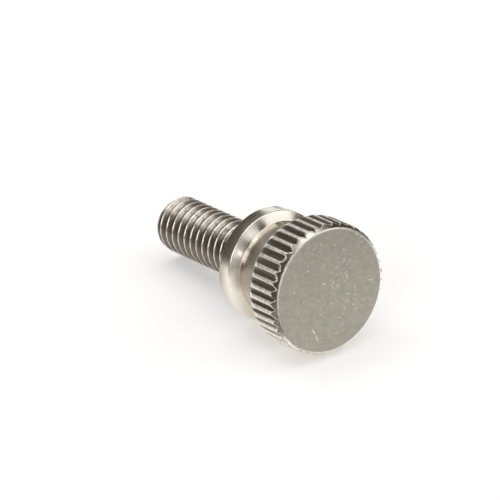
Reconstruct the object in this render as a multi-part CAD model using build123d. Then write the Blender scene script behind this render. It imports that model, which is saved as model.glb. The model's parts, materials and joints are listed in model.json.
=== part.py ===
from build123d import *
import math
import os

# Knurled head; heights run along the screw from its flat outer face
head_diameter = 11.11
head_height = 3.78
face_edge_radius = 0.12
front_chamfer_width = 0.33
front_chamfer_height = 0.64
rear_chamfer_width = 0.36
rear_chamfer_height = 0.65

# Straight knurl round the head
ridge_count = 40
groove_depth = 0.2
crest_radius = 0.27

# Plain neck between head and collar
neck_diameter = 7.9
neck_length = 3.1
neck_fillet_radius = 0.3

# Collar with a coned front and a flat bearing face behind
collar_diameter = 9.525
collar_cone_height = 0.47
collar_rim_height = 1.29
cone_fillet_radius = 0.1
cone_edge_radius = 0.12
rim_edge_radius = 0.06

# Shank at the thread's outer diameter, with a chamfered tip
shank_diameter = 4.8
shank_length = 12.7
tip_chamfer_width = 0.55
tip_chamfer_height = 0.5

# Radii, and places along the screw, that follow from the sizes above
head_radius = head_diameter / 2
root_radius = head_radius - groove_depth
crest_middle_radius = head_radius - crest_radius
neck_radius = neck_diameter / 2
collar_radius = collar_diameter / 2
shank_radius = shank_diameter / 2
rear_crest_end = head_height - rear_chamfer_height
neck_end = head_height + neck_length
cone_end = neck_end + collar_cone_height
bearing_face = cone_end + collar_rim_height
tip_end = bearing_face + shank_length
half_step = math.pi / ridge_count


def turned_body():
    """The whole screw as turned, before its head is knurled, standing on its face."""
    # Distance from the axis, height and rounding of each corner from the face's edge to the tip's
    corners = [
        (head_radius - front_chamfer_width, 0, face_edge_radius),
        (head_radius, front_chamfer_height, 0),
        (head_radius, rear_crest_end, 0),
        (head_radius - rear_chamfer_width, head_height, 0),
        (neck_radius, head_height, neck_fillet_radius),
        (neck_radius, neck_end, cone_fillet_radius),
        (collar_radius, cone_end, cone_edge_radius),
        (collar_radius, bearing_face, rim_edge_radius),
        (shank_radius, bearing_face, 0),
        (shank_radius, tip_end - tip_chamfer_height, 0),
        (shank_radius - tip_chamfer_width, tip_end, 0),
    ]
    face_middle, tip_middle = (0, 0, 0), (0, 0, tip_end)
    places = [(distance, 0, height) for distance, height, rounding in corners]
    roundings = [rounding for distance, height, rounding in corners]
    outline = FilletPolyline(face_middle, *places, tip_middle, radius=roundings)
    return revolve(make_face([outline, Line(tip_middle, face_middle)]), Axis.Z)


def knurled_bar():
    """A bar as long as the head, with round crests and straight flanks that meet in sharp roots."""
    root = Vector(root_radius * math.cos(half_step), root_radius * math.sin(half_step))
    crest_middle = Vector(crest_middle_radius, 0)
    # A flank leaves its root and runs on to touch the round of the crest
    reach = root - crest_middle
    touch_angle = math.atan2(reach.Y, reach.X) - math.acos(crest_radius / reach.length)
    touch = crest_middle + Vector(crest_radius * math.cos(touch_angle), crest_radius * math.sin(touch_angle))
    flank = Line(touch, root)
    ridge = [
        flank,
        flank.mirror(Plane.XZ),
        ThreePointArc(touch, Vector(head_radius, 0), Vector(touch.X, -touch.Y)),
    ]
    # The first ridge stands half a step off the side that is down at rest, so that two ridges carry the head
    section = [
        edge.rotate(Axis.Z, math.degrees(math.pi + half_step + 2 * place * half_step))
        for place in range(ridge_count)
        for edge in ridge
    ]
    return extrude(make_face(section), head_height)


def bar_stock():
    """The knurled bar over the head, with round bar behind it over the rest of the screw."""
    round_bar = Cylinder(head_radius, tip_end - head_height, align=(Align.CENTER, Align.CENTER, Align.MIN))
    return knurled_bar() + Pos(0, 0, head_height) * round_bar


def resting_slope():
    """Angle between the screw and the surface that it lies on, in degrees.

    The surface touches the rear ends of two crests and the round rear edge of the collar.
    """
    carried_radius = crest_middle_radius * math.cos(half_step) + crest_radius
    run = bearing_face - rim_edge_radius - rear_crest_end
    fall = carried_radius - (collar_radius - rim_edge_radius)
    return math.degrees(math.atan2(fall, run) - math.asin(rim_edge_radius / math.hypot(fall, run)))


def laid_down(screw):
    """The screw lying on its side with its tip towards -X, and the middle of its box over the origin."""
    quarter_turn_degrees = 90
    laid = screw.rotate(Axis.Y, -quarter_turn_degrees - resting_slope())
    box = laid.bounding_box()
    return Pos(-box.center().X, -box.center().Y, -box.min.Z) * laid


thumb_screw = laid_down(turned_body() & bar_stock())

os.makedirs("parts", exist_ok=True)
export_step(thumb_screw, "parts/thumb_screw.step")
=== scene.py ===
import json
import logging
import math
from dataclasses import dataclass
from enum import IntEnum
from typing import NamedTuple

import bpy
import numpy as np
from mathutils import Matrix, Vector


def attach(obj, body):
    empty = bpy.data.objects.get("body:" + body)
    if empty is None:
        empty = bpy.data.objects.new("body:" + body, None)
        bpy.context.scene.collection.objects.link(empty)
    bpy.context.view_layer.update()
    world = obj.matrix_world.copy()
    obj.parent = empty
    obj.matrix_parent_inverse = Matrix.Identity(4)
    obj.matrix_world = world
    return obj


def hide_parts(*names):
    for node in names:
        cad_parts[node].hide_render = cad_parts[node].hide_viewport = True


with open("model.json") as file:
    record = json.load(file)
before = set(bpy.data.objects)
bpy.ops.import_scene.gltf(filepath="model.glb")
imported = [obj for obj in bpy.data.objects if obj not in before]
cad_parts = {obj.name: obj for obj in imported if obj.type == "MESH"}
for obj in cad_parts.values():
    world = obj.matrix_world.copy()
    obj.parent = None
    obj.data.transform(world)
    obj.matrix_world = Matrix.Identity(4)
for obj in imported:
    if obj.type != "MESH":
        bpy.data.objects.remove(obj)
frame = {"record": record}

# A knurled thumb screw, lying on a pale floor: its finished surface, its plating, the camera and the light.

log = logging.getLogger("thumb_screw")

MM = 0.001
FULL_TURN = 2 * math.pi

Array = np.ndarray
Pair = tuple[float, float]
Triple = tuple[float, float, float]
Rings = tuple[tuple[float, int], ...]
Socket = bpy.types.NodeSocket


class Region(IntEnum):
    """The stretches of the screw that were worked differently, in the order of their materials."""

    FACE = 0
    KNURL = 1
    TURNED = 2
    THREAD = 3


# Shared helpers


def linear(hex_colour: str) -> tuple[float, float, float, float]:
    """Turn an sRGB hex colour into linear light.

    Args:
        hex_colour: Six hex digits, red first.

    Returns:
        Linear red, green and blue, with an alpha of 1.
    """
    channels = np.array([int(hex_colour[i:i + 2], 16) / 255 for i in (0, 2, 4)])
    low = channels / 12.92
    high = ((channels + 0.055) / 1.055) ** 2.4
    return (*np.where(channels <= 0.04045, low, high).tolist(), 1.0)


def per_metre(size_mm: float) -> float:
    """Texture scale that repeats once over a size in millimetres."""
    return 1 / (size_mm * MM)


def smooth_step(x: Array, start: Array | float = 0.0, over: float = 1.0) -> Array:
    """Ease from 0 to 1 as x goes over a stretch from start, as 3t^2 - 2t^3 with t its share of the way."""
    t = np.clip((x - start) / over, 0, 1)
    return t * t * (3 - 2 * t)


def ring_turn(count: int) -> Array:
    """Angles of evenly spaced places round the axis, the first on the side that lies down."""
    return math.pi + np.arange(count) * FULL_TURN / count


def ring_noise(count: int, waves: int, rng: np.random.Generator) -> Array:
    """Smooth random values round a closed ring: a sum of whole waves, each with a random height and phase.

    Args:
        count: Number of places on the ring.
        waves: Highest number of waves round the ring.
        rng: Seeded source of random numbers.

    Returns:
        One value a place, with a spread of about 1.
    """
    turn = np.arange(count) * FULL_TURN / count
    order = np.arange(1, waves + 1)[:, None]
    phase = rng.uniform(0, FULL_TURN, (waves, 1))
    height = rng.normal(0, 1, (waves, 1))
    return (height * np.cos(order * turn + phase)).sum(axis=0) / math.sqrt(waves / 2)


def arc_offsets(way_in: Array, way_out: Array, radius: float, steps: int) -> Array:
    """Points that round the corner of a profile, as offsets from the corner.

    An arc that touches the line coming in and the line going out: each point is the arc's middle plus the
    radius times a normal that turns evenly from the first line's to the second's.

    Args:
        way_in: Unit direction of the line that reaches the corner.
        way_out: Unit direction of the line that leaves it.
        radius: Radius of the arc.
        steps: Number of stretches along the arc.

    Returns:
        Offsets, one row a point.
    """
    turn = math.atan2(way_in[0] * way_out[1] - way_in[1] * way_out[0], way_in @ way_out)
    reach = radius * math.tan(abs(turn) / 2)
    side = math.copysign(1, turn)
    to_middle = -reach * way_in + side * radius * np.array([-way_in[1], way_in[0]])
    start = -reach * way_in - to_middle
    angle = np.linspace(0, turn, steps + 1)[:, None]
    across = np.array([-start[1], start[0]])
    return to_middle + np.cos(angle) * start + np.sin(angle) * across


def rounded_profile(corners: list[Triple], hold: float, steps: int) -> Array:
    """A profile of straight lines with rounded corners.

    Each inner corner becomes an arc. A spare point close to each end of a straight line keeps the shading of
    that line flat.

    Args:
        corners: Length along the screw, distance from its axis and edge radius of each corner.
        hold: Distance of the spare points from the arcs.
        steps: Number of stretches along each arc.

    Returns:
        Points of the profile, each a length along the screw and a distance from its axis.
    """
    place = np.array([corner[:2] for corner in corners])
    ways = np.diff(place, axis=0)
    ways /= np.linalg.norm(ways, axis=1)[:, None]
    rows = [place[:1]]
    for at, (way_in, way_out) in enumerate(zip(ways[:-1], ways[1:]), start=1):
        arc = place[at] + arc_offsets(way_in, way_out, corners[at][2], steps)
        rows += [arc[:1] - hold * way_in, arc, arc[-1:] + hold * way_out]
    rows.append(place[-1:])
    return np.vstack(rows)


@dataclass(frozen=True)
class Patch:
    """A stretch round the axis: its middle's turn from the top, and its half width, in degrees."""

    turn_deg: float
    half_deg: float

    def around(self, columns: int) -> Array:
        """A bell for each of the columns: 1 at the patch's middle, about a third at its half width."""
        away = (ring_turn(columns) - math.radians(self.turn_deg) + math.pi) % FULL_TURN - math.pi
        return np.exp(-(away / math.radians(self.half_deg)) ** 2)


def rows_between(first: Array, last: Array, count: int) -> Array:
    """Evenly spaced rows between two rows of points, without those two."""
    share = np.linspace(0, 1, count + 2)[1:-1, None, None]
    return first + share * (last - first)


class Strip(NamedTuple):
    """Rows of a surface with their painted shade and painted highlight, rows by columns."""

    place: Array
    painted_shade: Array
    painted_highlight: Array

    @classmethod
    def of(cls, place: Array, painted_shade: tuple, painted_highlight: tuple) -> "Strip":
        """Make a strip whose painted shade and painted highlight are each values along its rows times values
        round its columns.
        """
        grids = [np.reshape(along, (-1, 1)) * around for along, around in (painted_shade, painted_highlight)]
        return cls(place, *(np.broadcast_to(grid, place.shape[:2]) for grid in grids))


# Placing and meshing


@dataclass(frozen=True)
class ScrewFrame:
    """Where the screw lies: its face's centre and its own three directions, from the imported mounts."""

    face: Array
    up: Array
    side: Array
    along: Array

    @classmethod
    def from_record(cls, record: dict) -> "ScrewFrame":
        """Read the face's centre and the way to the tip from the record's mounts.

        Args:
            record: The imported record.

        Returns:
            The screw's frame, in metres.
        """
        mounts = {mount["name"]: mount for mount in record["mounts"]}
        face = np.array(mounts["head_face"]["pos_m"])
        along = np.array(mounts["thread"]["axis"])
        along /= np.linalg.norm(along)
        up = np.array([0.0, 0.0, 1.0])
        up = up - (up @ along) * along
        up /= np.linalg.norm(up)
        return cls(face, up, np.cross(along, up), along)

    def level_turn(self) -> Triple:
        """Turn about x, y and z that makes the screw's axis the third coordinate."""
        axes = Matrix((self.up.tolist(), self.side.tolist(), self.along.tolist()))
        return tuple(axes.to_euler())

    def level_shift(self) -> Triple:
        """Shift, after that turn, that puts the face's centre at zero."""
        return tuple((-np.stack([self.up, self.side, self.along]) @ self.face).tolist())

    def place(self, points: Array) -> Array:
        """Move rows of height, side and length in the screw's frame, in mm, to x, y and z in metres."""
        return self.face + points * MM @ np.stack([self.up, self.side, self.along])


class RingMesh:
    """A closed surface of rings round the screw's axis, gathered band by band from the face to the tip."""

    def __init__(self) -> None:
        """Start with no points and no faces."""
        self.points: list[Array] = []
        self.faces: list[Array] = []
        self.regions: list[Array] = []

    def _keep_points(self, points: Array, painted_shade: Array, painted_highlight: Array) -> Array:
        """Store points, each with its painted shade and its painted highlight, and give their numbers."""
        self.points.append(np.column_stack([points, painted_shade, painted_highlight]))
        return np.arange(len(points)) + sum(map(len, self.points[:-1]))

    def _keep_faces(self, faces: Array, region: Region) -> None:
        """Store faces that all belong to one region."""
        self.faces.append(faces)
        self.regions.append(np.full(len(faces), int(region)))

    def band(self, length: Array, radius: Array, region: Region,
             painted_shade: Array | float = 0.0, painted_highlight: Array | float = 0.0) -> Array:
        """Add a grid of rings: row by row along the profile, column by column round the axis.

        The point of a row and a column is (radius cos t, radius sin t, length), with t going once round from
        the side that lies down.

        Args:
            length: Length from the face, rows by columns.
            radius: Distance from the axis, rows by columns.
            region: What the band's faces belong to.
            painted_shade: How much painted brown shade each point holds, from 0 to 1.
            painted_highlight: How much painted highlight each point holds, from 0 to 1.

        Returns:
            The points' numbers, rows by columns.
        """
        rows, columns = radius.shape
        turn = ring_turn(columns)
        points = np.stack([radius * np.cos(turn), radius * np.sin(turn), length], axis=-1)
        shades = [np.broadcast_to(shade, radius.shape).reshape(-1) for shade in (painted_shade, painted_highlight)]
        grid = self._keep_points(points.reshape(-1, 3), *shades).reshape(rows, columns)
        beside = np.roll(grid, -1, axis=1)
        quads = np.stack([grid[:-1], beside[:-1], beside[1:], grid[1:]], axis=-1)
        self._keep_faces(quads.reshape(-1, 4), region)
        return grid

    def join(self, first: Array, second: Array, region: Region) -> None:
        """Join two neighbouring rings, where one has a whole multiple of the other's points.

        With equal counts the strip is quads. Otherwise each edge of the finer ring runs to the nearer end of
        the coarser edge beside it, and each coarser edge runs to the middle of its finer ones.

        Args:
            first: Point numbers of the ring nearer to the face.
            second: Point numbers of the ring nearer to the tip.
            region: What the strip belongs to.
        """
        if len(first) == len(second):
            quads = np.stack([first, np.roll(first, -1), np.roll(second, -1), second], axis=-1)
            self._keep_faces(quads, region)
            return
        fine, coarse = (first, second) if len(first) > len(second) else (second, first)
        ratio = len(fine) // len(coarse)
        place = np.arange(len(fine))
        nearest = coarse[((place + ratio - ratio // 2) // ratio) % len(coarse)]
        edges = np.stack([fine, np.roll(fine, -1), nearest], axis=-1)
        middle = fine[np.arange(len(coarse)) * ratio + ratio // 2]
        gaps = np.stack([middle, np.roll(coarse, -1), coarse], axis=-1)
        triangles = np.vstack([edges, gaps])
        if fine is second:
            triangles = triangles[:, ::-1]
        self._keep_faces(triangles, region)

    def close(self, outer: Array, length: float, radius: float, rings: Rings, region: Region) -> None:
        """Close a flat end with rings that thin out towards the middle, and a fan from one middle point.

        Args:
            outer: Point numbers of the end's outer ring.
            length: The end's length from the face, 0 for the face itself.
            radius: The outer ring's distance from the axis.
            rings: For each ring, its share of that distance and how many times fewer points it has.
            region: What the end belongs to.
        """
        at_face = length == 0
        for share, thinner in rings:
            shape = (1, len(outer) // thinner)
            inner = self.band(np.full(shape, length), np.full(shape, radius * share), region)[0]
            first, second = (inner, outer) if at_face else (outer, inner)
            self.join(first, second, region)
            outer = inner
        middle = self._keep_points(np.array([[0.0, 0.0, length]]), np.zeros(1), np.zeros(1))
        fan = np.stack([outer, np.roll(outer, -1), np.full(len(outer), middle[0])], axis=-1)
        self._keep_faces(fan[:, ::-1] if at_face else fan, region)

    def to_object(self, name: str, place: ScrewFrame) -> bpy.types.Object:
        """Make the gathered surface a smooth Blender object.

        Args:
            name: The object's name.
            place: Where the screw lies.

        Returns:
            The object, with painted shade and painted highlight values at each point and a material number on
            each face.
        """
        mesh = bpy.data.meshes.new(name)
        points = np.vstack(self.points)
        faces = [face for block in self.faces for face in block.tolist()]
        mesh.from_pydata(place.place(points[:, :3]), [], faces)
        mesh.polygons.foreach_set("material_index", np.concatenate(self.regions).astype(np.int32))
        for column, shade in enumerate(("painted_shade", "painted_highlight"), start=3):
            attribute = mesh.attributes.new(shade, "FLOAT", "POINT")
            attribute.data.foreach_set("value", points[:, column].astype(np.float32))
        mesh.shade_smooth()
        mesh.update()
        piece = bpy.data.objects.new(name, mesh)
        bpy.context.collection.objects.link(piece)
        return piece


# The screw


@dataclass
class Head:
    """The knurled head, from its flat face to the rear of its rim; sizes in millimetres."""

    radius: float = 5.555
    height: float = 3.78
    face_edge_radius: float = 0.12
    front_chamfer: Pair = (0.64, 0.33)
    rear_chamfer: Pair = (0.65, 0.36)
    rear_edge_radius: float = 0.06
    crease_radius: float = 0.6
    shoulder_radius: float = 1.0
    ridges: int = 40
    groove_depth: float = 0.2
    crest_radius: float = 0.27
    columns_per_ridge: int = 24
    uneven_share: float = 0.05
    deepest_share: float = 1.12
    wander: float = 0.2
    wander_limits: Pair = (-0.4, 1.2)
    burr_height: float = 0.11
    burr_clearance: float = 0.07
    burr_waves: int = 75
    burr_mean: float = 0.8
    burr_spread: float = 0.45
    burr_limits: Pair = (0.15, 1.5)
    burr_flank_gain: float = 1.6
    edge_steps: int = 6
    crease_steps: int = 8
    chamfer_rows: int = 3
    face_rings: Rings = ((0.99, 1), (0.96, 4), (0.6, 4), (0.2, 4))
    seed: int = 11

    # Painted shade and painted highlight as shares; a Triple is a share, where it sets in and its stretch, in
    # degrees from the top
    lit_side: Patch = Patch(-16.0, 14.0)
    lit_side_share: float = 0.85
    chamfer_shade_thinning: tuple[Triple, ...] = ((0.1, 70.0, 30.0), (0.8, 110.0, 20.0))
    shaded_edge: Patch = Patch(-115.0, 55.0)
    shaded_edge_least: float = 0.5
    shaded_edge_power: int = 4
    burr_highlight_patch: Patch = Patch(-45.0, 35.0)
    burr_highlight_least: float = 0.3
    burr_highlight_gain: float = 1.5
    groove_painted_shade: float = 0.92
    painted_shade_start: float = 0.13
    painted_shade_rise: float = 0.2
    painted_shade_start_below: Triple = (0.25, 65.0, 30.0)
    painted_shade_loss_below: Triple = (0.6, 95.0, 40.0)
    ridge_highlight: tuple[float, ...] = (0, 0, 0, 0, 0, 0.1)
    shoulder_painted_shade: Pair = (1.0, 0.9)
    shoulder_highlight: Pair = (0.3, 1.0)
    rear_painted_shade: tuple[float, ...] = (0.85, 0.8, 0.7)
    rear_highlight_hold: float = 0.7

    @property
    def columns(self) -> int:
        """Number of points on each ring of the head."""
        return self.ridges * self.columns_per_ridge

    def knurl_radius(self, rng: np.random.Generator) -> Array:
        """Distance from the axis to the knurl, for each column from one root round to the next.

        Near a crest the section is an arc about a point inside the ridge: that point's distance times the
        cosine of the angle, plus the root of crest_radius^2 less the square of the distance times the sine.
        Past the place where the flank touches the arc it is the straight flank, met by each column's ray.

        Args:
            rng: Seeded source of the small differences between ridges.

        Returns:
            One distance a column.
        """
        half = math.pi / self.ridges
        away = np.abs(np.linspace(-half, half, self.columns_per_ridge, endpoint=False))
        middle = self.radius - self.crest_radius
        root = (self.radius - self.groove_depth) * np.array([math.cos(half), math.sin(half)])
        reach = root - np.array([middle, 0.0])
        touch_angle = math.atan2(reach[1], reach[0]) - math.acos(self.crest_radius / np.linalg.norm(reach))
        touch_way = np.array([math.cos(touch_angle), math.sin(touch_angle)])
        touch = np.array([middle, 0.0]) + self.crest_radius * touch_way
        flank = root - touch
        under_root = np.maximum(self.crest_radius ** 2 - (middle * np.sin(away)) ** 2, 0)
        crest_part = middle * np.cos(away) + np.sqrt(under_root)
        flank_part = (root[0] * flank[1] - root[1] * flank[0]) / (
            np.cos(away) * flank[1] - np.sin(away) * flank[0])
        on_crest = away <= math.atan2(touch[1], touch[0])
        ridge = np.where(on_crest, crest_part, flank_part)
        deeper = 1 + self.uneven_share * np.abs(rng.normal(0, 1, (self.ridges, 1)))
        return (self.radius - (self.radius - ridge) * np.clip(deeper, 1, self.deepest_share)).reshape(-1)

    def build(self, mesh: RingMesh, rng: np.random.Generator) -> Array:
        """Add the face, the chamfers and the knurl.

        Each column has a profile of its own: round the face's edge, up the front chamfer until it meets the
        knurl there, level along the ridge or groove, and down the rear chamfer, with each crease an arc.

        Args:
            mesh: The surface to add to.
            rng: Seeded source of small differences.

        Returns:
            Point numbers of the head's last ring.
        """
        knurl = self.knurl_radius(rng)
        wander = np.clip(ring_noise(self.columns, self.burr_waves, rng), *self.wander_limits)
        strips = self._strips(knurl, self._burr(knurl, rng), wander)
        place, painted_shade, painted_highlight = (np.concatenate(rows) for rows in zip(*strips))
        grid = mesh.band(place[:, :, 0], place[:, :, 1], Region.KNURL, painted_shade, painted_highlight)
        mesh.close(grid[0], 0.0, place[0, 0, 1], self.face_rings, Region.FACE)
        return grid[-1]

    def _burr(self, knurl: Array, rng: np.random.Generator) -> Array:
        """Height of the knurling wheel's burr on each flank's front end, as a share of the full height.

        It follows the flank's slope, so that crests and roots have none, times smooth noise round the head.

        Args:
            knurl: Distance from the axis to the knurl, for each column.
            rng: Seeded source of the noise.

        Returns:
            One share a column.
        """
        slope = np.abs(np.gradient(knurl))
        noise = ring_noise(self.columns, self.burr_waves, rng)
        uneven = np.clip(self.burr_mean + self.burr_spread * noise, *self.burr_limits)
        return smooth_step(self.burr_flank_gain * slope / slope.max()) * uneven

    def _strips(self, knurl: Array, burr: Array, wander: Array) -> list[Strip]:
        """The head's rows from the face's edge to the rear, each with its painted shade and its painted
        highlight.

        Args:
            knurl: Distance from the axis to the knurl, for each column.
            burr: Burr on each column's front crease, as a share.
            wander: Smooth noise that shifts each groove's front end along the chamfer.

        Returns:
            The strips in order.
        """
        front, rear = np.array(self.front_chamfer), np.array(self.rear_chamfer) * (1, -1)
        up_chamfer, down_chamfer = front / np.linalg.norm(front), rear / np.linalg.norm(rear)
        outward, level = np.array([0.0, 1.0]), np.array([1.0, 0.0])
        face_radius, rear_radius = self.radius - front[1], self.radius + rear[1]
        front_crease = np.stack([(knurl - face_radius) * front[0] / front[1], knurl], axis=-1)
        depth = (self.radius - knurl) / self.groove_depth
        front_crease = front_crease + self.wander * (depth * wander)[:, None] * up_chamfer
        rear_crease = np.stack([self.height + (knurl - rear_radius) * rear[0] / rear[1], knurl], axis=-1)
        ones = np.ones_like(knurl)

        edge_arc = arc_offsets(outward, up_chamfer, self.face_edge_radius, self.edge_steps)
        edge = (np.array([0.0, face_radius]) + edge_arc)[:, None, :] * ones[:, None]
        crease_arc = arc_offsets(up_chamfer, level, self.crease_radius, self.crease_steps)
        crease = front_crease + crease_arc[:, None, :]
        swell = np.sin(np.linspace(0, math.pi, len(crease))) ** 2
        lift = np.array([-up_chamfer[1], up_chamfer[0]])
        limit = np.maximum(np.minimum(crease[:, :, 1], knurl), self.radius - self.burr_clearance)
        crease = crease + self.burr_height * swell[:, None, None] * burr[:, None] * lift
        crease[:, :, 1] = np.minimum(crease[:, :, 1], limit)
        shoulder_arc = arc_offsets(level, down_chamfer, self.shoulder_radius, self.crease_steps)
        shoulder = rear_crease + shoulder_arc[:, None, :]
        corner_arc = arc_offsets(down_chamfer, -outward, self.rear_edge_radius, self.edge_steps)
        corner = (np.array([self.height, rear_radius]) + corner_arc)[:, None, :] * ones[:, None]
        chamfer = rows_between(edge[-1], crease[0], self.chamfer_rows)
        ridge = rows_between(crease[-1], shoulder[0], len(self.ridge_highlight))
        rear_slope = rows_between(shoulder[-1], corner[0], len(self.rear_painted_shade))

        # Painted shade on the front chamfer, in the grooves and on one side of the face's edge; painted
        # highlights on the burrs, the lit side, the edges and the rear corner
        chamfer_painted_shade, groove_painted_shade = self._chamfer_painted_shade(), self._groove_painted_shade(depth)
        edge_painted_shade = self.shaded_edge.around(self.columns)
        along_edge = np.linspace(0, 1, len(edge)) ** self.shaded_edge_power
        burr_highlight_patch = self.burr_highlight_least + (1 - self.burr_highlight_least) * self.burr_highlight_patch.around(self.columns)
        burr_highlight = np.outer(np.sqrt(swell), np.clip(self.burr_highlight_gain * burr, 0, 1) * burr_highlight_patch)
        half = self.crease_steps // 2
        shoulder_painted_shade = np.linspace(*self.shoulder_painted_shade, len(shoulder))
        shoulder_highlight = np.linspace(*self.shoulder_highlight, len(shoulder))
        return [
            Strip.of(edge, (np.maximum(along_edge, self.shaded_edge_least), edge_painted_shade),
                     (1 - along_edge, 1 - edge_painted_shade)),
            Strip.of(chamfer, (1, chamfer_painted_shade), (1, 1 - chamfer_painted_shade)),
            Strip(crease[:half], chamfer_painted_shade * (1 - burr_highlight[:half]), burr_highlight[:half]),
            Strip(crease[half:], groove_painted_shade * (1 - burr_highlight[half:]), burr_highlight[half:]),
            Strip.of(ridge, (1, groove_painted_shade), (self.ridge_highlight, 1 - groove_painted_shade)),
            Strip.of(shoulder, (shoulder_painted_shade, groove_painted_shade), (shoulder_highlight, 1 - groove_painted_shade)),
            Strip.of(rear_slope, (self.rear_painted_shade, groove_painted_shade), (1, 1 - self.rear_highlight_hold * groove_painted_shade)),
            Strip.of(corner, (0, 1), (1, 1)),
        ]

    def _chamfer_painted_shade(self) -> Array:
        """Painted shade on the front chamfer, for each column: strong, but lifted on the lit side near the
        top and weaker underneath.
        """
        thinning = np.prod([1 - self._below(*below) for below in self.chamfer_shade_thinning], axis=0)
        return (1 - self.lit_side_share * self.lit_side.around(self.columns)) * thinning

    def _groove_painted_shade(self, depth: Array) -> Array:
        """Painted shade in the knurl's grooves, for each column: from part of the way down, and weaker
        underneath.
        """
        painted_shade = smooth_step(depth, self.painted_shade_start + self._below(*self.painted_shade_start_below), self.painted_shade_rise)
        return self.groove_painted_shade * painted_shade * (1 - self._below(*self.painted_shade_loss_below))

    def _below(self, share: float, from_deg: float, over_deg: float) -> Array:
        """Rise from 0 to a share towards the underside, from one turn from the top over a stretch."""
        from_top = np.abs((ring_turn(self.columns) + math.pi) % FULL_TURN - math.pi)
        return share * smooth_step(np.degrees(from_top), from_deg, over_deg)


@dataclass
class Collar:
    """The plain neck and the coned collar, as turned; sizes in millimetres."""

    neck_radius: float = 3.95
    neck_length: float = 3.1
    neck_fillet_radius: float = 0.3
    cone_fillet_radius: float = 0.1
    radius: float = 4.7625
    cone_height: float = 0.47
    rim_height: float = 1.29
    cone_edge_radius: float = 0.12
    rim_edge_radius: float = 0.06
    # Painted shade in pale brown on the neck towards the head and on a patch at one side, and a painted
    # highlight on the cone's edge
    neck_painted_shade: float = 0.9
    neck_painted_shade_length: float = 1.6
    side_shade: float = 0.6
    side_shade_patch: Patch = Patch(-88.0, 16.0)
    edge_highlight: float = 1.0
    rear_margin: float = 0.24
    hold: float = 0.03
    arc_steps: int = 8
    columns: int = 240

    def bearing_face(self, head: Head) -> float:
        """Length from the head's face to the collar's flat rear."""
        return head.height + self.neck_length + self.cone_height + self.rim_height

    def build(self, mesh: RingMesh, head: Head, head_ring: Array, shank_radius: float) -> Array:
        """Add the rear of the head, the neck and the collar, as one profile carried round the axis.

        Args:
            mesh: The surface to add to.
            head: The head that the neck stands on.
            head_ring: Point numbers of the head's last ring.
            shank_radius: Where the flat rear ends.

        Returns:
            Point numbers of the last ring, on the flat rear of the collar.
        """
        neck_end = head.height + self.neck_length
        cone_end = neck_end + self.cone_height
        rear = self.bearing_face(head)
        start = head.radius - head.rear_chamfer[1] - self.rear_margin
        corners = [
            (head.height, start, 0),
            (head.height, self.neck_radius, self.neck_fillet_radius),
            (neck_end, self.neck_radius, self.cone_fillet_radius),
            (cone_end, self.radius, self.cone_edge_radius),
            (rear, self.radius, self.rim_edge_radius),
            (rear, shank_radius, 0),
        ]
        profile = rounded_profile(corners, self.hold, self.arc_steps)
        length, radius = profile[:, :1], profile[:, 1:]
        ones = np.ones((1, self.columns))
        # Painted shade: a darker patch at one side, and the neck darker towards the head
        side_shade = self.side_shade * self.side_shade_patch.around(self.columns)
        painted_shade = np.maximum(self.neck_painted_shade * smooth_step(neck_end - length, over=self.neck_painted_shade_length), side_shade)
        # Painted highlight on the cone's rounded edge
        on_edge = np.hypot(length - cone_end, radius - self.radius) < self.cone_edge_radius
        painted_highlight = np.where(on_edge, self.edge_highlight, 0.0)
        grid = mesh.band(length * ones, radius * ones, Region.TURNED, painted_shade, painted_highlight)
        mesh.join(head_ring, grid[0], Region.TURNED)
        return grid[-1]


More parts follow.
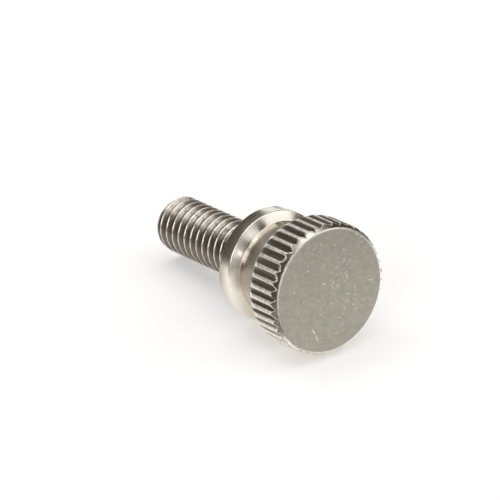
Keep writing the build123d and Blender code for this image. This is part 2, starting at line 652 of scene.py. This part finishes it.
@dataclass
class Shank:
    """The threaded shank with its chamfered tip; sizes in millimetres."""

    radius: float = 2.4
    length: float = 12.7
    pitch: float = 25.4 / 30
    depth: float = 0.5
    crest_width_share: float = 0.1
    root_width_share: float = 0.16
    tip_chamfer: Pair = (0.5, 0.55)
    run_out_turns: float = 0.9
    cone_blend: float = 0.03
    tip_rings: Rings = ((0.97, 1), (0.6, 4))
    columns: int = 120
    rows_per_turn: int = 20

    # Painted shade and painted highlight as shares; each pair is where a change starts and how far it goes on
    lit_side: Patch = Patch(-29.0, 16.0)
    dark: Patch = Patch(6.0, 24.0)
    lower: Patch = Patch(-120.0, 55.0)
    painted_shade_depths: Pair = (0.08, 0.2)
    lower_shift: float = 0.2
    dark_shift: float = 0.16
    lower_thinning: float = 0.15
    collar_turns: float = 3.0
    collar_painted_shade: float = 0.6
    root_painted_shade: float = 0.95
    root_depths: Pair = (0.42, 0.25)
    cone_fade: float = 0.1
    tip_turns: Pair = (2.4, 1.5)
    tip_thinning: float = 0.45
    crest_highlight_depth: float = 0.12
    lower_highlight_loss: float = 0.8
    collar_highlight_loss: float = 0.7
    dark_highlight_loss: float = 0.3
    lit_side_highlight_depths: Pair = (0.3, 0.5)

    def build(self, mesh: RingMesh, start: float, collar_ring: Array) -> None:
        """Add the thread and the tip.

        The radius at a turn t and a length s is the outer radius less the depth times a groove of straight
        flanks, which follows s / pitch - t / full turn, so that it climbs one pitch a turn, right-handed. The
        groove fades out beside the collar. At the tip the chamfer's cone cuts the thread off, with a rounded
        crease: half of the sum of both radii less the root of their difference^2 + cone_blend^2.

        Args:
            mesh: The surface to add to.
            start: Length from the head's face to the collar's flat rear.
            collar_ring: Point numbers of the ring that the shank stands on.
        """
        steps = round(self.length / self.pitch * self.rows_per_turn)
        length = np.linspace(0, self.length, steps + 1)[:, None]
        turn = ring_turn(self.columns)
        phase = (length / self.pitch - turn / FULL_TURN) % 1.0
        from_root = 2 * np.abs(phase - 0.5)
        flank = (from_root - self.root_width_share) / (1 - self.root_width_share - self.crest_width_share)
        groove = 1 - np.clip(flank, 0, 1)
        cut = smooth_step(length, over=self.run_out_turns * self.pitch)
        thread = self.radius - self.depth * groove * cut
        cone_height, cone_width = self.tip_chamfer
        cone = self.radius - cone_width * (length - (self.length - cone_height)) / cone_height
        radius = 0.5 * (thread + cone - np.sqrt((thread - cone) ** 2 + self.cone_blend ** 2))
        painted_shade, painted_highlight = self._painted_shade_and_highlight(groove * cut, length, cone - thread)
        grid = mesh.band(start + length * np.ones_like(radius), radius, Region.THREAD, painted_shade, painted_highlight)
        mesh.join(collar_ring, grid[0], Region.TURNED)
        mesh.close(grid[-1], start + self.length, radius[-1].mean(), self.tip_rings, Region.TURNED)

    def _painted_shade_and_highlight(self, depth: Array, length: Array, inside: Array) -> tuple[Array, Array]:
        """Painted shade in the grooves, heavier by the collar and weaker on the lit side, and painted
        highlights on crests and that side.

        Args:
            depth: Depth below the crests as a share of the thread's, rows by columns.
            length: Length from the collar, one value a row.
            inside: How far the thread lies inside the tip's cone, rows by columns.

        Returns:
            Painted shade and painted highlight, each rows by columns.
        """
        lit_side, dark, lower = (patch.around(self.columns) for patch in (self.lit_side, self.dark, self.lower))
        by_collar = 1 - smooth_step(length, over=self.collar_turns * self.pitch)
        tip_start, tip_over = np.array(self.tip_turns) * self.pitch
        by_tip = smooth_step(length, self.length - tip_start, tip_over) * np.clip(lit_side + dark, 0, 1)
        painted_shade = smooth_step(depth + self.lower_shift * lower + self.dark_shift * dark, *self.painted_shade_depths)
        painted_shade = np.maximum(painted_shade * (1 - self.lower_thinning * lower), self.collar_painted_shade * by_collar)
        painted_shade = np.maximum(painted_shade * (1 - lit_side), self.root_painted_shade * smooth_step(depth, *self.root_depths))
        painted_shade = painted_shade * smooth_step(inside, over=self.cone_fade) * (1 - self.tip_thinning * by_tip)
        painted_highlight = 1 - smooth_step(depth, over=self.crest_highlight_depth)
        painted_highlight = painted_highlight * (1 - self.lower_highlight_loss * lower) * (1 - self.collar_highlight_loss * by_collar)
        lit_side_highlight = lit_side * (1 - smooth_step(depth, *self.lit_side_highlight_depths))
        return painted_shade, np.maximum(painted_highlight * (1 - self.dark_highlight_loss * dark), lit_side_highlight)


# Finishes


class NodeTree:
    """A material's nodes, added one call at a time."""

    def __init__(self, name: str) -> None:
        """Start a new material with no nodes.

        Args:
            name: The material's name.
        """
        self.material = bpy.data.materials.new(name)
        self.material.use_nodes = True
        self.tree = self.material.node_tree
        self.tree.nodes.clear()

    def add(self, kind: str, settings: dict | None = None, **inputs: object) -> bpy.types.Node:
        """Add a node with its settings, and set or link its inputs.

        Args:
            kind: The node's type.
            settings: Properties of the node itself.
            inputs: Socket names, with _ for a space, each with a value or with another node's output.

        Returns:
            The node.
        """
        node = self.tree.nodes.new(kind)
        for key, value in (settings or {}).items():
            setattr(node, key, value)
        for key, value in inputs.items():
            socket = node.inputs[int(key[1:])] if key[1:].isdigit() else node.inputs[key.replace("_", " ")]
            if isinstance(value, Socket):
                self.tree.links.new(value, socket)
            else:
                socket.default_value = value
        return node

    def math(self, operation: str, first: object, second: object) -> Socket:
        """Work out one value from two, each a number or another node's output."""
        return self.add("ShaderNodeMath", {"operation": operation}, _0=first, _1=second).outputs[0]

    def vector(self, operation: str, **inputs: object) -> Socket:
        """Work out a vector, or its length, from one or two others."""
        node = self.add("ShaderNodeVectorMath", {"operation": operation}, **inputs)
        return node.outputs["Value" if operation == "LENGTH" else "Vector"]

    def mix(self, share: object, first: object, second: object) -> Socket:
        """Blend two colours, each a linear colour or another node's output."""
        return self.add("ShaderNodeMix", {"data_type": "RGBA"}, _0=share, _6=first, _7=second).outputs[2]

    def noise(self, place: Socket, size_mm: float, detail: float = 2.0, roughness: float = 0.5) -> Socket:
        """Add a noise pattern of a size in millimetres."""
        return self.add("ShaderNodeTexNoise", Vector=place, Scale=per_metre(size_mm), Detail=detail,
                        Roughness=roughness).outputs["Fac"]

    def remap(self, value: Socket, stretch: Pair, onto: Pair = (0.0, 1.0), kind: str = "LINEAR") -> Socket:
        """Map a stretch of values, from its first to its last, onto another."""
        return self.add("ShaderNodeMapRange", {"interpolation_type": kind}, _0=value, _1=stretch[0],
                        _2=stretch[1], _3=onto[0], _4=onto[1]).outputs[0]


# Shares of a mark's reach at which it has faded out and at which it is full
MARK_FADE = (1.0, 0.2)


@dataclass(frozen=True)
class Marks:
    """Handling marks of one size on the flat face: bright dashes, scattered and turned at random."""

    cell_mm: float
    half_length_mm: float
    half_width_mm: float
    share: float
    strength: float

    def build(self, made: NodeTree, place: Socket) -> Socket:
        """Add the marks to a material.

        A pattern of cells gives each mark its middle and its random numbers. The mark is an ellipse about
        that middle, and only a share of the cells holds one.

        Args:
            made: The material's nodes.
            place: Coordinates on the face, in metres.

        Returns:
            How far each place is marked, from 0 to 1.
        """
        cells = made.add("ShaderNodeTexVoronoi", {"voronoi_dimensions": "2D"}, Vector=place,
                         Scale=per_metre(self.cell_mm))
        chance = made.add("ShaderNodeSeparateColor", Color=cells.outputs["Color"])
        apart = made.vector("SUBTRACT", _0=place, _1=cells.outputs["Position"])
        angle = made.math("MULTIPLY", chance.outputs[0], math.pi)
        turned = made.add("ShaderNodeVectorRotate", {"rotation_type": "Z_AXIS"}, Vector=apart,
                          Angle=angle).outputs[0]
        scale = (per_metre(self.half_length_mm), per_metre(self.half_width_mm), 0.0)
        reach = made.vector("LENGTH", _0=made.vector("MULTIPLY", _0=turned, _1=scale))
        inside = made.remap(reach, MARK_FADE, kind="SMOOTHSTEP")
        here = made.math("LESS_THAN", chance.outputs[1], self.share)
        depth = made.math("MULTIPLY", chance.outputs[2], self.strength)
        return made.math("MULTIPLY", made.math("MULTIPLY", inside, here), depth)


@dataclass(frozen=True)
class Nick:
    """One bright scratch on the flat face, from a start to an end, each up from and beside its centre."""

    start_mm: Pair
    end_mm: Pair
    half_width_mm: float
    strength: float

    def build(self, made: NodeTree, place: Socket) -> Socket:
        """Add the scratch to a material, as a narrow ellipse between its ends.

        Args:
            made: The material's nodes.
            place: Coordinates on the face from its centre, in metres.

        Returns:
            How far each place is marked, from 0 to 1.
        """
        start, end = np.array(self.start_mm), np.array(self.end_mm)
        middle, way = (start + end) / 2, end - start
        half = (float(np.linalg.norm(way)) / 2 + self.half_width_mm, self.half_width_mm)
        ellipse = made.add("ShaderNodeMapping", {"vector_type": "TEXTURE"}, Vector=place,
                           Location=(*(middle * MM).tolist(), 0.0),
                           Rotation=(0.0, 0.0, math.atan2(way[1], way[0])),
                           Scale=(half[0] * MM, half[1] * MM, 1.0)).outputs[0]
        reach = made.vector("LENGTH", _0=ellipse)
        return made.remap(reach, MARK_FADE, (0.0, self.strength), "SMOOTHSTEP")


@dataclass(frozen=True)
class NickelPlate:
    """Bright nickel over turned metal: a warm grey mirror, blurred by how the metal below was worked.

    Nickel plate follows the metal under it, so each stretch has its own roughness and marks. Painted shade
    darkens grooves and shaded places with a brown colour, and painted highlights brighten edges and lit
    sides.
    """

    name: str
    tones: tuple[str, str]
    roughness: float
    painted_shade_colour: str = "564c41"
    painted_shade_roughness: float = 0.5
    painted_highlight_colour: str = "f2ece2"
    painted_highlight_roughness: float = 0.24
    highlight_breaks: float = 0.0
    mottle_mm: float = 0.5
    mottle_noise: Pair = (4.0, 0.6)
    mottle_roughness: float = 0.05
    noise_stretch: Pair = (0.35, 0.65)
    rough_stretch: Pair = (0.3, 0.7)
    break_stretch: Pair = (0.4, 0.55)
    # The plate's real grain is micrometres fine; it is drawn coarser, so that it shows
    grain_mm: float = 0.08
    grain_noise: Pair = (3.0, 0.7)
    grain_height_mm: float = 0.002
    marks: tuple[Marks, ...] = ()
    nicks: tuple[Nick, ...] = ()
    cluster_mm: float = 2.5
    fewest_marks: float = 0.3
    mark_colour: str = "f4f1ea"

    def build(self, place: ScrewFrame) -> bpy.types.Material:
        """Make the material.

        Args:
            place: Where the screw lies, for the marks on its face.

        Returns:
            The material, on Object coordinates and the mesh's painted shade and painted highlight attributes.
        """
        made = NodeTree(self.name)
        spot = made.add("ShaderNodeTexCoord").outputs["Object"]
        painted_shade = made.add("ShaderNodeAttribute", {"attribute_name": "painted_shade"}).outputs["Fac"]
        painted_highlight = made.add("ShaderNodeAttribute", {"attribute_name": "painted_highlight"}).outputs["Fac"]
        mottle = made.noise(spot, self.mottle_mm, *self.mottle_noise)
        grain = made.noise(spot, self.grain_mm, *self.grain_noise)
        whole = made.remap(mottle, self.break_stretch, (1 - self.highlight_breaks, 1.0))
        painted_highlight = made.math("MULTIPLY", painted_highlight, whole)
        tone = made.remap(mottle, self.noise_stretch)
        colour = made.mix(tone, linear(self.tones[0]), linear(self.tones[1]))
        # Painted shade, then painted highlight, mixed into the colour
        colour = made.mix(painted_shade, colour, linear(self.painted_shade_colour))
        colour = made.mix(painted_highlight, colour, linear(self.painted_highlight_colour))
        rough = made.remap(painted_shade, (0.0, 1.0), (self.roughness, self.painted_shade_roughness))
        rough = made.add("ShaderNodeMix", {"data_type": "FLOAT"}, _0=painted_highlight, _2=rough,
                         _3=self.painted_highlight_roughness).outputs[0]
        spread = made.remap(mottle, self.rough_stretch, (-self.mottle_roughness, self.mottle_roughness))
        rough = made.add("ShaderNodeMath", {"operation": "ADD", "use_clamp": True}, _0=rough,
                         _1=spread).outputs[0]
        if self.marks:
            level = made.add("ShaderNodeMapping", Vector=spot, Rotation=place.level_turn(),
                             Location=place.level_shift()).outputs[0]
            marked = self.marks[0].build(made, level)
            for layer in self.marks[1:]:
                marked = made.math("MAXIMUM", marked, layer.build(made, level))
            cluster = made.noise(spot, self.cluster_mm)
            dense = made.remap(cluster, self.noise_stretch, (self.fewest_marks, 1.0))
            marked = made.math("MULTIPLY", marked, dense)
            for nick in self.nicks:
                marked = made.math("MAXIMUM", marked, nick.build(made, level))
            colour = made.mix(marked, colour, linear(self.mark_colour))
        bump = made.add("ShaderNodeBump", Strength=1.0, Distance=self.grain_height_mm * MM,
                        Height=grain).outputs["Normal"]
        shader = made.add("ShaderNodeBsdfPrincipled", Base_Color=colour, Metallic=1.0, Roughness=rough,
                          Normal=bump)
        made.add("ShaderNodeOutputMaterial", Surface=shader.outputs["BSDF"])
        return made.material


FACE_MARKS = (
    Marks(cell_mm=0.7, half_length_mm=0.26, half_width_mm=0.07, share=0.65, strength=0.75),
    Marks(cell_mm=0.4, half_length_mm=0.14, half_width_mm=0.07, share=0.65, strength=0.55),
)

FACE_NICKS = (
    Nick((-2.69, -2.07), (-3.32, -1.78), 0.08, 1.0),
    Nick((-3.32, -1.78), (-4.0, -1.59), 0.08, 0.9),
    Nick((0.9, -0.65), (0.61, -0.33), 0.08, 0.7),
    Nick((-0.82, 1.57), (-0.89, 1.97), 0.08, 0.6),
    Nick((0.9, 1.79), (0.52, 1.85), 0.09, 0.6),
    Nick((-0.31, 3.88), (-0.43, 4.38), 0.1, 0.5),
    Nick((-1.85, 1.27), (-2.12, 1.29), 0.08, 0.5),
    Nick((-2.49, 0.39), (-2.64, 0.99), 0.06, 0.5),
    Nick((1.07, -3.61), (0.86, -3.38), 0.07, 0.6),
)

FINISHES = {
    # Fine facing marks under the plate blur its reflections: an even grey, set darker than the other nickel
    # as painted shade, with bright dashes from handling
    Region.FACE: NickelPlate("satin_nickel_faced", ("a5a499", "b8b0a5"), 0.42, mottle_mm=0.8,
                             marks=FACE_MARKS, nicks=FACE_NICKS),
    # The wheel pressed this metal rough: dull ridges whose near-white tone is partly painted highlight,
    # painted shade in the grooves and painted highlights on the edges
    Region.KNURL: NickelPlate("bright_nickel_knurled", ("d3cabd", "fffbf4"), 0.6, painted_highlight_colour="fffcf6",
                              painted_highlight_roughness=0.2, highlight_breaks=0.2, mottle_mm=0.22, mottle_roughness=0.1),
    # A fine lathe cut stays a mirror: bright and dark bands of the room, with painted shade in pale brown on
    # the neck and at one side
    Region.TURNED: NickelPlate("bright_nickel_turned", ("d9d2c6", "e0d9cd"), 0.13, painted_shade_colour="ac9e8b",
                               painted_shade_roughness=0.75, mottle_roughness=0.03, grain_height_mm=0.001),
    # Cut and then plated: crests with painted highlights as thin lines, and painted shade between them
    Region.THREAD: NickelPlate("bright_nickel_threaded", ("dcd4c8", "faf4e9"), 0.16, painted_shade_colour="5c5145",
                               painted_shade_roughness=0.35, painted_highlight_colour="fffaf2", painted_highlight_roughness=0.38,
                               highlight_breaks=0.6, mottle_mm=0.3),
}


@dataclass
class ThumbScrew:
    """The whole screw: one closed surface over its head, collar and shank."""

    head: Head
    collar: Collar
    shank: Shank
    rear_gap: float = 0.25
    node: str = "thumb_screw"
    slot: str = "nickel"

    def build(self, place: ScrewFrame) -> bpy.types.Object:
        """Make the screw's surface.

        Args:
            place: Where the screw lies.

        Returns:
            The piece, with no materials yet.
        """
        rng = np.random.default_rng(self.head.seed)
        mesh = RingMesh()
        head_ring = self.head.build(mesh, rng)
        collar_ring = self.collar.build(mesh, self.head, head_ring, self.shank.radius + self.rear_gap)
        self.shank.build(mesh, self.collar.bearing_face(self.head), collar_ring)
        return mesh.to_object("screw_surface", place)

    def dress(self, piece: bpy.types.Object, place: ScrewFrame) -> None:
        """Give the piece its finishes and its place in the frame.

        Args:
            piece: The screw's surface.
            place: Where the screw lies.
        """
        for region in Region:
            piece.data.materials.append(FINISHES[region].build(place))
        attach(piece, "root")
        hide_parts(self.node)


# The studio


@dataclass(frozen=True)
class PhotoCamera:
    """The camera as the photograph has it: its bearing, distance and lens, and where the face falls."""

    azimuth_deg: float = 53.3
    elevation_deg: float = 29.34
    distance: float = 0.342
    pixels_per_mm: float = 12.422
    face_pixel: Pair = (329.8, 290.77)
    frame_pixels: float = 500.0
    sensor_mm: float = 36.0
    clip_ratio: float = 100.0

    def build(self, face: Array) -> bpy.types.Object:
        """Make the camera and use it for the scene.

        Args:
            face: The centre of the screw's face, in metres.

        Returns:
            The camera.
        """
        a, e = math.radians(self.azimuth_deg), math.radians(self.elevation_deg)
        right = Vector((math.cos(a), math.sin(a), 0))
        forward = Vector((-math.sin(a) * math.cos(e), math.cos(a) * math.cos(e), -math.sin(e)))
        up = right.cross(forward)
        half = self.frame_pixels / 2
        across = (self.face_pixel[0] - half) / self.pixels_per_mm * MM
        below = (self.face_pixel[1] - half) / self.pixels_per_mm * MM
        place = Vector(face) - across * right + below * up - self.distance * forward
        data = bpy.data.cameras.new("photo_camera")
        data.sensor_width = self.sensor_mm
        data.lens = self.sensor_mm * self.pixels_per_mm * self.distance / MM / self.frame_pixels
        data.clip_start, data.clip_end = self.distance / self.clip_ratio, self.distance * self.clip_ratio
        camera = bpy.data.objects.new("photo_camera", data)
        camera.matrix_world = Matrix((right, up, -forward)).transposed().to_4x4()
        camera.location = place
        bpy.context.collection.objects.link(camera)
        bpy.context.scene.camera = camera
        return camera


@dataclass(frozen=True)
class Softbox:
    """A soft rectangular lamp that faces the screw; sizes in metres, bearing as the camera's."""

    name: str
    azimuth_deg: float
    elevation_deg: float
    distance: float
    width: float
    height: float
    radiance: float

    def build(self) -> None:
        """Make the lamp, facing the middle of the floor."""
        a, e = math.radians(self.azimuth_deg), math.radians(self.elevation_deg)
        back = Vector((math.sin(a) * math.cos(e), -math.cos(a) * math.cos(e), math.sin(e)))
        data = bpy.data.lights.new(self.name, "AREA")
        data.shape = "RECTANGLE"
        data.size, data.size_y = self.width, self.height
        data.energy = self.radiance * math.pi * self.width * self.height
        lamp = bpy.data.objects.new(self.name, data)
        lamp.rotation_mode = "QUATERNION"
        lamp.rotation_quaternion = (-back).to_track_quat("-Z", "Y")
        lamp.location = back * self.distance
        bpy.context.collection.objects.link(lamp)


@dataclass(frozen=True)
class Studio:
    """A pale floor, soft lamps and a dim room; sizes in metres.

    Beyond a pale pool that holds the whole picture the floor's colour is painted darker, a painted falloff of
    light, for the dark bands on the collar.
    """

    floor_half: float = 0.6
    floor_lines: int = 9
    floor_roughness: float = 0.9
    floor_colour: str = "f4f4f4"
    room_colour: str = "6b675f"
    room_strength: float = 0.7
    floor_glow: float = 0.3
    painted_falloff_colour: str = "79736a"
    pool_centre: Pair = (-0.0019, 0.0123)
    pool_half: Pair = (0.043, 0.055)
    pool_turn_deg: float = 53.3
    pool_reach: float = 1.35
    lamps: tuple[Softbox, ...] = (
        Softbox("side_softbox", 146.0, 38.0, 0.7, 0.6, 0.5, 1.2),
        Softbox("top_softbox", 255.0, 80.0, 0.8, 0.9, 0.9, 1.15),
        Softbox("front_softbox", 91.5, 32.0, 0.8, 0.22, 0.24, 1.05),
        Softbox("front_wall", 60.0, 14.0, 1.0, 1.2, 0.5, 0.32),
        Softbox("front_lamp", 71.0, 17.0, 0.7, 0.06, 0.06, 2.6),
        Softbox("high_front_softbox", 75.0, 58.0, 0.9, 0.6, 0.2, 1.5),
        Softbox("front_left_softbox", 30.0, 28.0, 0.9, 0.42, 0.5, 2.4),
        Softbox("front_left_wall", -15.0, 28.0, 0.9, 0.4, 0.4, 1.5),
        Softbox("left_softbox", -50.0, 56.0, 0.9, 0.7, 0.36, 1.3),
        Softbox("sweep", 233.0, 9.0, 0.8, 1.3, 0.3, 0.95),
    )

    def build(self) -> None:
        """Make the floor, the lamps and the room's own light."""
        self._build_floor()
        for lamp in self.lamps:
            lamp.build()
        world = bpy.data.worlds.new("dim_room")
        world.use_nodes = True
        background = world.node_tree.nodes["Background"]
        background.inputs["Color"].default_value = linear(self.room_colour)
        background.inputs["Strength"].default_value = self.room_strength
        bpy.context.scene.world = world
        bpy.context.scene.view_settings.view_transform = "Standard"

    def _build_floor(self) -> None:
        """Make the floor a grid on the surface that the screw lies on.

        The pool's edge is a rounded rectangle: x^4 + y^4 = 1, with x and y as shares of its half sizes.
        """
        side = np.linspace(-self.floor_half, self.floor_half, self.floor_lines)
        x, y = np.meshgrid(side, side)
        grid = np.arange(x.size).reshape(x.shape)
        quads = np.stack([grid[:-1, :-1], grid[:-1, 1:], grid[1:, 1:], grid[1:, :-1]], axis=-1)
        mesh = bpy.data.meshes.new("floor")
        points = np.stack([x, y, 0 * x], axis=-1).reshape(-1, 3)
        mesh.from_pydata(points, [], quads.reshape(-1, 4).tolist())
        # Matt paper mirrors nothing, and its faint glow keeps the ground as pale as the photograph's
        made = NodeTree("matt_white_paper")
        place = made.add("ShaderNodeTexCoord").outputs["Object"]
        # Painted pool of light: the floor's colour turns darker beyond the pool
        pool = made.add("ShaderNodeMapping", {"vector_type": "TEXTURE"}, Vector=place,
                        Location=(*self.pool_centre, 0.0),
                        Rotation=(0.0, 0.0, math.radians(self.pool_turn_deg)),
                        Scale=(*self.pool_half, 1.0)).outputs[0]
        reach = made.vector("LENGTH", _0=made.vector("MULTIPLY", _0=pool, _1=pool))
        painted_falloff = made.remap(reach, (1.0, self.pool_reach ** 2), kind="SMOOTHSTEP")
        colour = made.mix(painted_falloff, linear(self.floor_colour), linear(self.painted_falloff_colour))
        shader = made.add("ShaderNodeBsdfPrincipled", Base_Color=colour, Roughness=self.floor_roughness,
                          Emission_Color=colour, Emission_Strength=self.floor_glow)
        made.add("ShaderNodeOutputMaterial", Surface=shader.outputs["BSDF"])
        mesh.materials.append(made.material)
        floor = bpy.data.objects.new("floor", mesh)
        bpy.context.collection.objects.link(floor)


def main() -> None:
    """Build the screw, the camera and the studio."""
    logging.basicConfig(level=logging.INFO)
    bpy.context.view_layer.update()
    place = ScrewFrame.from_record(frame["record"])
    screw = ThumbScrew(Head(), Collar(), Shank())
    piece = screw.build(place)
    screw.dress(piece, place)
    log.info("%s: %d faces", piece.name, len(piece.data.polygons))
    camera = PhotoCamera().build(place.face)
    log.info("%s: lens %.0f mm", camera.name, camera.data.lens)
    Studio().build()


if __name__ == "__main__":
    main()
